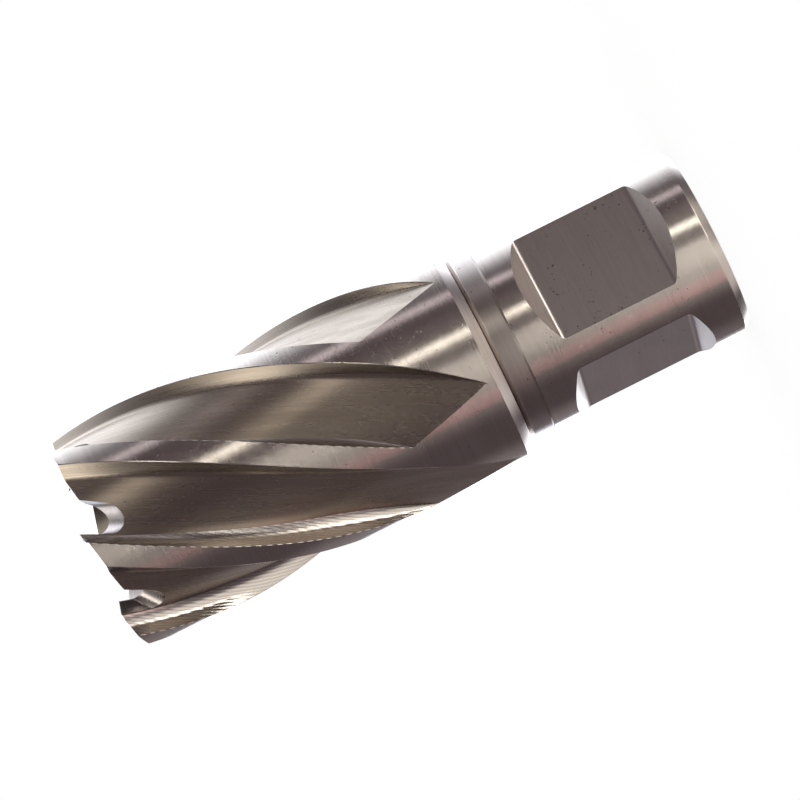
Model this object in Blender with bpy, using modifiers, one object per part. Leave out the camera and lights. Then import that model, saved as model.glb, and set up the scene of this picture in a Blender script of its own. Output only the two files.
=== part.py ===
"""Annular cutter: a hollow milling cutter ground from one bar of high speed steel.

It stands on the end of its shank with its teeth up, and its axis is +Z. Lengths are in metres and
angles in degrees. An angle behind a cutting edge is measured clockwise as seen from the teeth.
"""

import math

import bmesh
import bpy
from mathutils import Matrix, Vector

MM = 0.001

# Shank, with two clamping flats a quarter turn apart
SHANK_DIAMETER = 19.05 * MM
SHANK_LENGTH = 23.63 * MM
SHANK_CHAMFER = 0.8 * MM
FLAT_START = 5.29 * MM
FLAT_LENGTH = 11.77 * MM
FLAT_ONE_DEPTH = 1.81 * MM
FLAT_TWO_DEPTH = 1.57 * MM
FLAT_ONE_TURN = 0.0
FLAT_TWO_TURN = -90.0
FLAT_END_SLOPE = 42.0
FLAT_FILLET = 0.35 * MM

# Bore for the ejector pin, right through the shank
PILOT_BORE_DIAMETER = 6.35 * MM
PILOT_BORE_CHAMFER = 0.4 * MM

# Neck below the shoulder, with a grinding groove at the foot of the shoulder face
NECK_DEPTH = 0.185 * MM
NECK_LENGTH = 1.5 * MM
NECK_TAPER_LENGTH = 0.37 * MM
GROOVE_DEPTH = 1.24 * MM
GROOVE_FLOOR_WIDTH = 0.42 * MM
GROOVE_WALL_DROP = 0.26 * MM
NECK_EDGE_ROUND = 0.25 * MM

# Body, from the shoulder face to the tips of the teeth
BODY_LENGTH = 42.11 * MM
CUTTING_DIAMETER = 22.3 * MM
FLUTED_BACK_TAPER = 0.04 * MM
COLLAR_STEP_BACK = 0.18 * MM
COLLAR_CHAMFER = 0.99 * MM
WALL = 3.65 * MM
SLUG_FLOOR_THICKNESS = 4.4 * MM

# Six teeth, each with a right-hand helical flute in front of it
TOOTH_COUNT = 6
TOOTH_PHASE = 13.2
HELIX_ANGLE = 29.6
LAND_WIDTH = 2.37 * MM
FLUTE_DEPTH = 1.95 * MM
HEEL_LEAN = 33.0
RAKE_FILLET = 0.8 * MM
PLAIN_COLLAR_LENGTH = 0.45 * MM
RUNOUT_SLANT = 9.35 * MM
RUNOUT_LENGTH = 8.0 * MM
HEEL_SWING = 4.0
HEEL_SWING_LENGTH = 12.0 * MM

# Gullet below each flute, through the rest of the wall
GULLET_DEPTH = 4.62 * MM
GULLET_LEAD = 0.63 * MM
GULLET_FRONT_RADIUS = 1.22 * MM
GULLET_BACK_RADIUS = 2.2 * MM
GULLET_FRONT_LEAN = 26.0
GULLET_BACK_LEAN = 33.0
GULLET_FALL = 40.0
GULLET_SWEEP = 23.5

# Ground ends of the teeth
TIP_INSET = 1.75 * MM
TIP_LEAD = 6.6
END_DROP_PER_TOOTH = 2.1 * MM
OUTER_BEVEL = 11.0
INNER_BEVEL = 12.0

# How finely the round surfaces are cut
TURNED_SEGMENTS = 96
FLUTE_STEP = 1.4 * MM
FLOOR_STEPS = 5
WALL_STEPS = 3
FILLET_STEPS = 3
LEAST_FILLET = 0.1
ARC_STEPS = 10
TOOTH_END_STEPS = 10

# How far a cutting tool reaches past what it cuts
OVERCUT = 1.6 * MM
END_TOOL_LEAD = 8.6
END_TOOL_OVERLAP = 0.5

STEEL_COLOUR = (0.47, 0.43, 0.38, 1.0)
STEEL_ROUGHNESS = 0.3

SHANK_RADIUS = SHANK_DIAMETER / 2
NECK_RADIUS = SHANK_RADIUS - NECK_DEPTH
CUTTING_RADIUS = CUTTING_DIAMETER / 2
FLUTE_END_RADIUS = CUTTING_RADIUS - FLUTED_BACK_TAPER
COLLAR_RADIUS = FLUTE_END_RADIUS - COLLAR_STEP_BACK
SLUG_RADIUS = CUTTING_RADIUS - WALL
FLOOR_RADIUS = CUTTING_RADIUS - FLUTE_DEPTH
TOP_RADIUS = CUTTING_RADIUS + OVERCUT
TIP_Z = SHANK_LENGTH + BODY_LENGTH
COLLAR_Z = SHANK_LENGTH + COLLAR_CHAMFER
FLUTE_END_Z = COLLAR_Z + PLAIN_COLLAR_LENGTH
TOOTH_PITCH = 360.0 / TOOTH_COUNT
TWIST = math.degrees(math.tan(math.radians(HELIX_ANGLE)) / CUTTING_RADIUS)
LAND_ANGLE = math.degrees(LAND_WIDTH / CUTTING_RADIUS)


def tangent(degrees):
    return math.tan(math.radians(degrees))


def polar(radius, angle, z):
    turn = math.radians(angle)
    return Vector((radius * math.cos(turn), radius * math.sin(turn), z))


def edge_angle(z, tooth=0):
    """Direction of a tooth's cutting edge at height z."""
    return TOOTH_PHASE + tooth * TOOTH_PITCH + TWIST * (z - TIP_Z)


def collection_named(name):
    collection = bpy.data.collections.new(name)
    bpy.context.scene.collection.children.link(collection)
    return collection


def add_object(name, bm, collection):
    """Object made of the bmesh, with its faces turned out."""
    bmesh.ops.recalc_face_normals(bm, faces=bm.faces)
    mesh = bpy.data.meshes.new(name)
    bm.to_mesh(mesh)
    bm.free()
    obj = bpy.data.objects.new(name, mesh)
    collection.objects.link(obj)
    return obj


def add_cutter(name, bm, cutters):
    bmesh.ops.triangulate(bm, faces=bm.faces)
    cutter = add_object(name, bm, cutters)
    cutter.hide_render = True
    cutter.display_type = "WIRE"
    return cutter


def loft(bm, rings):
    """Closed solid through rings of equally many points."""
    rows = [[bm.verts.new(point) for point in ring] for ring in rings]
    count = len(rows[0])
    for low, high in zip(rows, rows[1:]):
        for i in range(count):
            j = (i + 1) % count
            bm.faces.new((low[i], low[j], high[j], high[i]))
    bm.faces.new(rows[0])
    bm.faces.new(rows[-1])


def turned_outline():
    """Half section of the blank, down the outside from the teeth and back up through the bores."""
    bore = PILOT_BORE_DIAMETER / 2
    blank_z = TIP_Z + OVERCUT / 2
    slug_floor_z = SHANK_LENGTH + SLUG_FLOOR_THICKNESS
    groove_radius = NECK_RADIUS - GROOVE_DEPTH
    groove_floor_z = SHANK_LENGTH - GROOVE_FLOOR_WIDTH
    groove_edge_z = groove_floor_z - GROOVE_WALL_DROP
    neck_z = groove_edge_z - NECK_EDGE_ROUND
    neck_end_z = neck_z - NECK_LENGTH
    return [
        (CUTTING_RADIUS, blank_z),
        (FLUTE_END_RADIUS, FLUTE_END_Z + RUNOUT_LENGTH),
        (COLLAR_RADIUS, COLLAR_Z),
        (COLLAR_RADIUS - COLLAR_CHAMFER, SHANK_LENGTH),
        (groove_radius, SHANK_LENGTH),
        (groove_radius, groove_floor_z),
        (NECK_RADIUS - NECK_EDGE_ROUND, groove_edge_z),
        (NECK_RADIUS, neck_z),
        (NECK_RADIUS, neck_end_z),
        (SHANK_RADIUS, neck_end_z - NECK_TAPER_LENGTH),
        (SHANK_RADIUS, SHANK_CHAMFER),
        (SHANK_RADIUS - SHANK_CHAMFER, 0.0),
        (bore + PILOT_BORE_CHAMFER, 0.0),
        (bore, PILOT_BORE_CHAMFER),
        (bore, slug_floor_z),
        (SLUG_RADIUS, slug_floor_z),
        (SLUG_RADIUS, blank_z),
    ]


def make_blank(collection):
    """The turned blank, before any flat, flute or gullet is cut."""
    bm = bmesh.new()
    points = [bm.verts.new((radius, 0.0, z)) for radius, z in turned_outline()]
    for start, end in zip(points, points[1:] + points[:1]):
        bm.edges.new((start, end))
    mesh = bpy.data.meshes.new("annular_cutter")
    bm.to_mesh(mesh)
    bm.free()
    blank = bpy.data.objects.new("annular_cutter", mesh)
    collection.objects.link(blank)
    turn = blank.modifiers.new("turned blank", "SCREW")
    turn.axis = "Z"
    turn.angle = math.tau
    turn.steps = TURNED_SEGMENTS
    turn.render_steps = TURNED_SEGMENTS
    turn.use_merge_vertices = True
    turn.merge_threshold = 0.000001
    turn.use_smooth_shade = False
    return blank


def make_flat_cutter(name, depth, turn, cutters):
    """Block with sloping ends and a rounded foot that mills one clamping flat."""
    bm = bmesh.new()
    bmesh.ops.create_cube(bm, size=1.0)
    floor = SHANK_RADIUS - depth
    reach = depth + OVERCUT
    for vert in bm.verts:
        outside = vert.co.y < 0
        end = math.copysign(FLAT_LENGTH / 2, vert.co.z)
        if outside:
            end += math.copysign(reach * tangent(FLAT_END_SLOPE), end)
        vert.co.x *= SHANK_DIAMETER + OVERCUT
        vert.co.y = -floor - reach if outside else -floor
        vert.co.z = FLAT_START + FLAT_LENGTH / 2 + end
    feet = [
        edge
        for edge in bm.edges
        if all(abs(vert.co.y + floor) < 1e-9 for vert in edge.verts)
        and abs(edge.verts[0].co.z - edge.verts[1].co.z) < 1e-9
    ]
    bmesh.ops.bevel(
        bm,
        geom=feet,
        offset=FLAT_FILLET,
        segments=FILLET_STEPS,
        profile=0.5,
        affect="EDGES",
    )
    cutter = add_cutter(name, bm, cutters)
    cutter.rotation_euler.z = math.radians(turn)


def flute_end_z(behind):
    """Height at which the flute runs out of the body, at an angle behind the cutting edge ahead."""
    foot = LAND_ANGLE + heel_run(FLUTE_DEPTH) + HEEL_SWING
    return FLUTE_END_Z + RUNOUT_SLANT * (behind - foot) / (TOOTH_PITCH - foot)


def heel_run(depth):
    """Angle from the heel of a land to the point on its wall at this depth, which is negative outside."""
    return math.degrees(math.atan2(depth * tangent(HEEL_LEAN), CUTTING_RADIUS - depth))


def flute_depth(behind, z):
    """Depth of the flute, which falls to nothing along an arc and goes on rising outside the body."""
    part = (z - flute_end_z(behind)) / RUNOUT_LENGTH
    if part >= 1:
        return FLUTE_DEPTH
    if part >= 0:
        return FLUTE_DEPTH * (1 - (1 - part) ** 2)
    return max(2 * FLUTE_DEPTH * part, -OVERCUT / 2)


def flute_ring(z, tooth):
    """Section of the tool that cuts one flute: heel wall, floor, fillet and rake face of the next tooth."""
    near_end = max(0.0, 1 - (z - FLUTE_END_Z) / HEEL_SWING_LENGTH)
    foot = LAND_ANGLE + heel_run(FLUTE_DEPTH) + HEEL_SWING * min(1.0, near_end**2)
    depth = flute_depth(foot, z)
    heel = foot - heel_run(depth)
    wall_top = heel + heel_run(-OVERCUT)
    edge_depth = flute_depth(TOOTH_PITCH, z)
    fillet = RAKE_FILLET * max(LEAST_FILLET, edge_depth / FLUTE_DEPTH)
    base = CUTTING_RADIUS - edge_depth
    fillet_angle = math.degrees(fillet / base)
    ring = []
    for i in range(WALL_STEPS):
        wall_depth = -OVERCUT + (depth + OVERCUT) * i / WALL_STEPS
        ring.append((CUTTING_RADIUS - wall_depth, heel + heel_run(wall_depth)))
    for i in range(FLOOR_STEPS + 1):
        behind = foot + (TOOTH_PITCH - fillet_angle - foot) * i / FLOOR_STEPS
        ring.append((CUTTING_RADIUS - flute_depth(behind, z), behind))
    for i in range(1, FILLET_STEPS + 1):
        turn = math.radians(90.0 * i / FILLET_STEPS)
        behind = TOOTH_PITCH - fillet_angle * (1 - math.sin(turn))
        ring.append((base + fillet * (1 - math.cos(turn)), behind))
    ring.append((TOP_RADIUS, TOOTH_PITCH))
    ring.append((TOP_RADIUS, (TOOTH_PITCH + wall_top) / 2))
    start = edge_angle(z, tooth)
    return [polar(radius, start - behind, z) for radius, behind in ring]


def make_flute_cutters(cutters):
    low = FLUTE_END_Z - OVERCUT / 2
    high = TIP_Z + OVERCUT
    steps = math.ceil((high - low) / FLUTE_STEP)
    heights = [low + (high - low) * i / steps for i in range(steps + 1)]
    for tooth in range(TOOTH_COUNT):
        bm = bmesh.new()
        loft(bm, [flute_ring(z, tooth) for z in heights])
        add_cutter(f"flute_cutter_{tooth + 1}", bm, cutters)


def gullet_outline():
    """Slot with a round bottom and spreading sides, as distances ahead of the edge and heights."""
    front = 180.0 - GULLET_FRONT_LEAN
    back = 360.0 - GULLET_BACK_LEAN
    points = []
    for i in range(ARC_STEPS + 1):
        turn = front + (back - front) * i / ARC_STEPS
        radius = GULLET_FRONT_RADIUS if turn < 270 else GULLET_BACK_RADIUS
        turn = math.radians(turn)
        points.append((radius * math.cos(turn), radius * (1 + math.sin(turn))))
    height = GULLET_DEPTH + OVERCUT
    first, last = points[0], points[-1]
    points.insert(0, (first[0] + height * tangent(GULLET_FRONT_LEAN), first[1] + height))
    points.append((last[0] + height * tangent(GULLET_BACK_LEAN), last[1] + height))
    return [(GULLET_LEAD + x, TIP_Z - GULLET_DEPTH + z) for x, z in points]


def make_gullet_cutters(cutters):
    """Slots that run inwards from the flute floors, forwards and towards the tips."""
    outer = TOP_RADIUS - FLOOR_RADIUS
    inner = SLUG_RADIUS - OVERCUT - FLOOR_RADIUS
    for tooth in range(TOOTH_COUNT):
        rings = []
        for reach in (outer, inner):
            ahead = -reach * tangent(GULLET_SWEEP)
            rise = -reach * tangent(GULLET_FALL)
            rings.append([(FLOOR_RADIUS + reach, x + ahead, z + rise) for x, z in gullet_outline()])
        bm = bmesh.new()
        loft(bm, rings)
        turn = Matrix.Rotation(math.radians(edge_angle(TIP_Z, tooth)), 4, "Z")
        bmesh.ops.transform(bm, matrix=turn, verts=bm.verts)
        add_cutter(f"gullet_cutter_{tooth + 1}", bm, cutters)


def make_tooth_end_cutters(cutters):
    """Tools that grind the end of each tooth back behind its edge and bevel it outwards and inwards."""
    tip_radius = CUTTING_RADIUS - TIP_INSET
    inner = SLUG_RADIUS - OVERCUT
    top = TIP_Z + 2 * OVERCUT
    outline = [
        (inner, TIP_Z - (tip_radius - inner) * tangent(INNER_BEVEL)),
        (tip_radius, TIP_Z),
        (TOP_RADIUS, TIP_Z - (TOP_RADIUS - tip_radius) * tangent(OUTER_BEVEL)),
        (TOP_RADIUS, top),
        (inner, top),
    ]
    spread = TOOTH_PITCH + END_TOOL_OVERLAP
    for tooth in range(TOOTH_COUNT):
        start = edge_angle(TIP_Z, tooth) + TIP_LEAD + END_TOOL_LEAD
        rings = []
        for i in range(TOOTH_END_STEPS + 1):
            behind = spread * i / TOOTH_END_STEPS
            drop = END_DROP_PER_TOOTH * (behind - END_TOOL_LEAD) / TOOTH_PITCH
            rings.append([polar(radius, start - behind, z - drop) for radius, z in outline])
        bm = bmesh.new()
        loft(bm, rings)
        add_cutter(f"tooth_end_cutter_{tooth + 1}", bm, cutters)


def steel_material():
    material = bpy.data.materials.new("high_speed_steel")
    material.use_nodes = True
    shader = material.node_tree.nodes["Principled BSDF"]
    shader.inputs["Base Color"].default_value = STEEL_COLOUR
    shader.inputs["Metallic"].default_value = 1.0
    shader.inputs["Roughness"].default_value = STEEL_ROUGHNESS
    return material


def main():
    for obj in list(bpy.data.objects):
        bpy.data.objects.remove(obj, do_unlink=True)
    parts = collection_named("annular_cutter")
    cutters = collection_named("cutters")
    cutter_body = make_blank(parts)
    cutter_body.data.materials.append(steel_material())
    make_flat_cutter("flat_cutter_1", FLAT_ONE_DEPTH, FLAT_ONE_TURN, cutters)
    make_flat_cutter("flat_cutter_2", FLAT_TWO_DEPTH, FLAT_TWO_TURN, cutters)
    make_flute_cutters(cutters)
    make_gullet_cutters(cutters)
    make_tooth_end_cutters(cutters)
    for cutter in cutters.objects:
        cut = cutter_body.modifiers.new(cutter.name, "BOOLEAN")
        cut.operation = "DIFFERENCE"
        cut.solver = "EXACT"
        cut.object = cutter


main()
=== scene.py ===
"""Annular cutter with its ground finish, on a white studio floor.

It is laid out as an add-on and run as a script. Lengths are in metres, and an angle behind a cutting
edge is in degrees, clockwise as seen from the teeth.
"""

import math
from typing import NamedTuple

import bmesh
import bpy
from bpy.props import FloatProperty, FloatVectorProperty, IntProperty, PointerProperty
from mathutils import Matrix, Vector


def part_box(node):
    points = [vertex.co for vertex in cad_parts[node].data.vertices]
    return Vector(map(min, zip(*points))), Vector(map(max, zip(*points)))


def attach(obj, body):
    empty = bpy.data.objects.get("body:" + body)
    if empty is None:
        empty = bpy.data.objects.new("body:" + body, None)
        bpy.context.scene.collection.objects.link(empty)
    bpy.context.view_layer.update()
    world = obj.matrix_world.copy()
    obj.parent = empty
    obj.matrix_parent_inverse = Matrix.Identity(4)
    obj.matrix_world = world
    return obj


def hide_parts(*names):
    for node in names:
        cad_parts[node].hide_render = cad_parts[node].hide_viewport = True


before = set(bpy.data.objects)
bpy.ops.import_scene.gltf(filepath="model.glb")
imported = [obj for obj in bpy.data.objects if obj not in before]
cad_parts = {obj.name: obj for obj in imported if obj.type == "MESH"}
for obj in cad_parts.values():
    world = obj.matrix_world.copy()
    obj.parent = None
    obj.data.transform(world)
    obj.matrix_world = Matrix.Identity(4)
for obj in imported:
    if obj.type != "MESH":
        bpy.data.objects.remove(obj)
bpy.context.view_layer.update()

bl_info = {
    "name": "Annular cutter",
    "version": (1, 0, 0),
    "blender": (4, 5, 0),
    "location": "View3D > Sidebar > Cutter",
    "description": "Hollow milling cutter with a ground finish, its studio and its camera",
    "category": "Object",
}

MM = 0.001
NODE_LOW, NODE_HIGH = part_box("annular_cutter")
CUTTER_WIDTH = max(NODE_HIGH.x, NODE_HIGH.y, -NODE_LOW.x, -NODE_LOW.y) * 2

REGIONS = (
    "ground_body",
    "ground_shank",
    "turned_neck",
    "turned_chamfer",
    "flute_floor",
    "heel_wall",
    "rake_face",
    "cutting_edge",
    "gullet",
    "tooth_end",
    "milled_flat",
    "bore",
)

# Faces are shaded smoothly up to these turns, within one region and where two regions meet
SMOOTH_LIMIT = math.radians(25)
REGION_LIMIT = math.radians(8)

# Points closer than this are one point
SAME_PLACE = 1e-7

# Rounds in which the angle and the depth at a flute's end settle
SETTLING_ROUNDS = 5

# Degrees that the tool for a tooth's end starts ahead of the tip, and runs on past one pitch
END_LEAD = 8.6
END_OVERLAP = 0.5


def length(name, description, millimetres):
    """Setting for a length."""
    return FloatProperty(
        name=name, description=description, default=millimetres * MM, unit="LENGTH", precision=5
    )


def angle(name, description, degrees):
    """Setting for an angle."""
    return FloatProperty(
        name=name, description=description, default=math.radians(degrees), subtype="ANGLE"
    )


def colour(name, description, value):
    """Setting for a colour."""
    return FloatVectorProperty(
        name=name, description=description, default=value, size=3, subtype="COLOR", min=0.0
    )


class ShankSizes(bpy.types.PropertyGroup):
    """Sizes of the shank, its flats, the bore and the neck."""

    diameter: length("Shank diameter", "Outside diameter of the shank", 19.05)
    reach: length("Shank length", "From the end of the shank to the shoulder", 23.63)
    chamfer: length("Shank chamfer", "Chamfer at the end of the shank", 0.8)
    flat_start: length("Flat start", "From the end of the shank to a flat", 5.29)
    flat_length: length("Flat length", "Length of a flat's floor", 11.77)
    flat_one_depth: length("First flat depth", "Depth of the first flat", 1.81)
    flat_two_depth: length("Second flat depth", "Depth of the second flat", 1.57)
    flat_end_slope: angle("Flat end slope", "Lean of the flats' end ramps", 42.0)
    flat_fillet: length("Flat fillet", "Radius at the foot of the ramps", 0.35)
    bore_diameter: length("Pin bore diameter", "Bore for the ejector pin", 6.35)
    bore_chamfer: length("Pin bore chamfer", "Chamfer at the mouth of the bore", 0.4)
    neck_depth: length("Neck depth", "How far the neck lies below the shank", 0.185)
    neck_reach: length("Neck reach", "From the shoulder to the shank side of the neck", 2.43)
    neck_taper: length("Neck taper", "Length of the taper into the shank", 0.1)
    groove_depth: length("Groove depth", "Depth of the groove below the neck", 1.24)
    groove_width: length("Groove width", "Width of the groove at the shoulder's foot", 0.1)
    groove_bevel: length("Groove bevel", "Bevel between the neck and the groove", 0.35)
    ease: length("Edge easing", "Rounding of the turned edges", 0.07)


class BodySizes(bpy.types.PropertyGroup):
    """Sizes of the fluted body."""

    overall_length: length("Overall length", "From the shank's end to the tips", 65.74)
    cutting_diameter: FloatProperty(
        name="Cutting diameter",
        description="Diameter over the cutting edges",
        default=CUTTER_WIDTH,
        unit="LENGTH",
    )
    back_taper: length("Back taper", "Fall of the radius along the flutes", 0.04)
    collar_step: length("Collar step back", "Fall of the radius at the collar", 0.18)
    collar_chamfer: length("Collar chamfer", "Chamfer at the shoulder", 0.99)
    wall: length("Wall", "Wall between the cavity and the cutting edges", 3.65)
    slug_floor: length("Slug floor", "Thickness under the slug cavity", 4.4)
    helix: angle("Helix angle", "Slant of the flutes at the cutting edges", 29.6)
    land_width: length("Land width", "Width of a tooth's land", 2.37)
    flute_depth: length("Flute depth", "Depth of a flute in front of a rake face", 2.15)
    heel_depth: length("Heel depth", "Depth of a flute at the foot of a heel", 1.5)
    heel_lean: angle("Heel lean", "Lean of the wall behind a land", 33.0)
    foot_round: length("Foot round", "Rounding at the foot of the heel wall", 0.35)
    rake_fillet: length("Rake fillet", "Radius at the foot of the rake face", 1.6)
    fillet_start: angle("Fillet start", "Slope at which that fillet leaves the floor", 35.0)
    plain_collar: length("Plain collar", "From the chamfer to the first flute end", 0.05)
    runout_slant: length("Run-out slant", "Slant of the line where a flute ends", 9.35)
    runout: length("Run-out length", "Length over which a flute rises", 12.0)
    heel_swing: angle("Heel swing", "Turn of the heel wall at the run-out", 4.0)
    swing_length: length("Swing length", "Length of that turn", 12.0)
    edge_flat: length("Edge flat", "Tiny flat on each cutting edge", 0.035)
    heel_flat: length("Heel flat", "Tiny flat on each heel", 0.05)


class ToothSizes(bpy.types.PropertyGroup):
    """Sizes of the gullets and of the ground ends of the teeth."""

    count: IntProperty(name="Teeth", description="Number of teeth", default=6, min=3)
    phase: angle("Phase", "Direction of the first edge at the tips", 13.2)
    gullet_depth: length("Gullet depth", "From the tips to the bottom of a gullet", 4.62)
    gullet_inset: length("Gullet inset", "From the cutting radius to a gullet's measuring line", 1.95)
    gullet_lead: length("Gullet lead", "Bottom of a gullet ahead of the edge", 0.63)
    front_radius: length("Front radius", "Gullet radius towards the edge", 1.22)
    back_radius: length("Back radius", "Gullet radius towards the next heel", 2.2)
    front_lean: angle("Front lean", "Lean of the gullet's front side", 26.0)
    back_lean: angle("Back lean", "Lean of the gullet's back side", 33.0)
    gullet_fall: angle("Gullet fall", "Rise of the gullet towards the cavity", 40.0)
    gullet_sweep: angle("Gullet sweep", "Turn of the gullet towards the cavity", 23.5)
    tip_inset: length("Tip inset", "From the cutting radius to the tip", 1.75)
    tip_lead: angle("Tip lead", "Turn of the tips ahead of the edges", 6.6)
    end_drop: length("End drop", "Fall of a tooth's end over one pitch", 2.1)
    outer_bevel: angle("Outer bevel", "Slope outwards from the tip", 11.0)
    inner_bevel: angle("Inner bevel", "Slope inwards from the tip", 12.0)


class FineSteps(bpy.types.PropertyGroup):
    """How finely the surfaces are cut."""

    land: IntProperty(name="Land", description="Columns on a land", default=10, min=2)
    wall: IntProperty(name="Wall", description="Columns on a heel wall", default=5, min=2)
    foot: IntProperty(name="Foot", description="Columns on a foot round", default=5, min=2)
    floor: IntProperty(name="Floor", description="Columns on a flute floor", default=22, min=4)
    plain: IntProperty(name="Plain", description="Columns beyond a flute end", default=20, min=4)
    fillet: IntProperty(name="Fillet", description="Columns on a rake fillet", default=10, min=3)
    rake: IntProperty(name="Rake", description="Columns on a rake face", default=3, min=1)
    arc: IntProperty(name="Arc", description="Steps on a gullet's round", default=48, min=8)
    bore: IntProperty(name="Bore", description="Steps round the bore", default=180, min=24)
    flat_fillet: IntProperty(name="Flat", description="Steps on a flat's fillet", default=8, min=2)
    tooth_end: IntProperty(name="End", description="Steps along a tooth's end", default=48, min=8)
    runout_row: length("Run-out row", "Height of a row where the flutes end", 0.3)
    row: length("Row", "Height of a row elsewhere", 0.6)
    overcut: length("Overcut", "How far a cutting tool reaches past its cut", 1.6)


class SteelFinish(bpy.types.PropertyGroup):
    """Colours of the ground steel."""

    steel: colour("Steel", "Ground high speed steel", (0.64, 0.585, 0.525))
    stain: colour("Stain", "Film of dried coolant", (0.30, 0.25, 0.19))
    flute: colour("Flute", "Ground surface inside the flutes", (0.46, 0.4, 0.33))
    fresh: colour("Fresh", "Freshly ground gullets", (0.42, 0.385, 0.37))
    milled: colour("Milled", "Milled clamping flats", (0.6, 0.545, 0.51))
    # The chamfer colour is brighter than the steel as a painted highlight that lifts the reflections of
    # the turned chamfers
    chamfer: colour("Chamfer", "Turned chamfer of the collar", (0.8, 0.73, 0.68))
    neck: colour("Neck", "Turned neck below the collar", (0.5, 0.455, 0.415))
    # The heel colour, far darker than the flute steel, is painted shade on the steep walls inside the
    # flutes
    heel: colour("Heel", "Ground walls behind the lands", (0.28, 0.24, 0.2))
    rake: colour("Rake", "Freshly ground rake faces", (0.62, 0.57, 0.52))
    # The bright edge colour, against the nearly black dark side of the hatch waves, paints dashed
    # glints along the cutting edges
    edge: colour("Edge", "Bright flats of the cutting edges", (0.85, 0.8, 0.75))
    pit: colour("Pit", "Bottom of the small pits", (0.10, 0.08, 0.07))


class StageSettings(bpy.types.PropertyGroup):
    """Floor, light and camera."""

    floor_half_width: length("Floor half width", "From the axis to the floor's sides", 4000.0)
    tent_radius: length("Tent radius", "Distance of the tent and its cards", 600.0)
    tent_colour: colour("Tent", "Dim wall of the tent", (0.114, 0.09, 0.102))
    camera_azimuth: angle("Camera azimuth", "Direction of the camera from the axis", -111.0)
    camera_distance: length("Camera distance", "From the axis to the camera", 475.7)
    camera_tilt: angle("Camera tilt", "Slope of the camera's line of sight", 1.3)
    camera_roll: angle("Camera roll", "Roll of the camera", 26.6)
    aim_height: length("Aim height", "Height of the point that the camera aims at", 33.09)
    aim_side: length("Aim side", "That point to the side of the axis", 0.637)
    lens: FloatProperty(
        name="Lens", description="Focal length for a 36 mm sensor", default=225.0, unit="CAMERA"
    )


def polar(radius, degrees, z):
    """Point at a distance from the axis, in a direction and at a height."""
    turn = math.radians(degrees)
    return Vector((radius * math.cos(turn), radius * math.sin(turn), z))


def spread(start, end, steps):
    """Values from start to end in equal steps, both ends included."""
    return [start + (end - start) * i / steps for i in range(steps + 1)]


def bend(start, corner, end, steps):
    """Points on a round from start to end that leaves towards the corner."""
    return [
        tuple((1 - t) ** 2 * a + 2 * t * (1 - t) * b + t * t * c for a, b, c in zip(start, corner, end))
        for t in spread(0.0, 1.0, steps)
    ]


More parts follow.
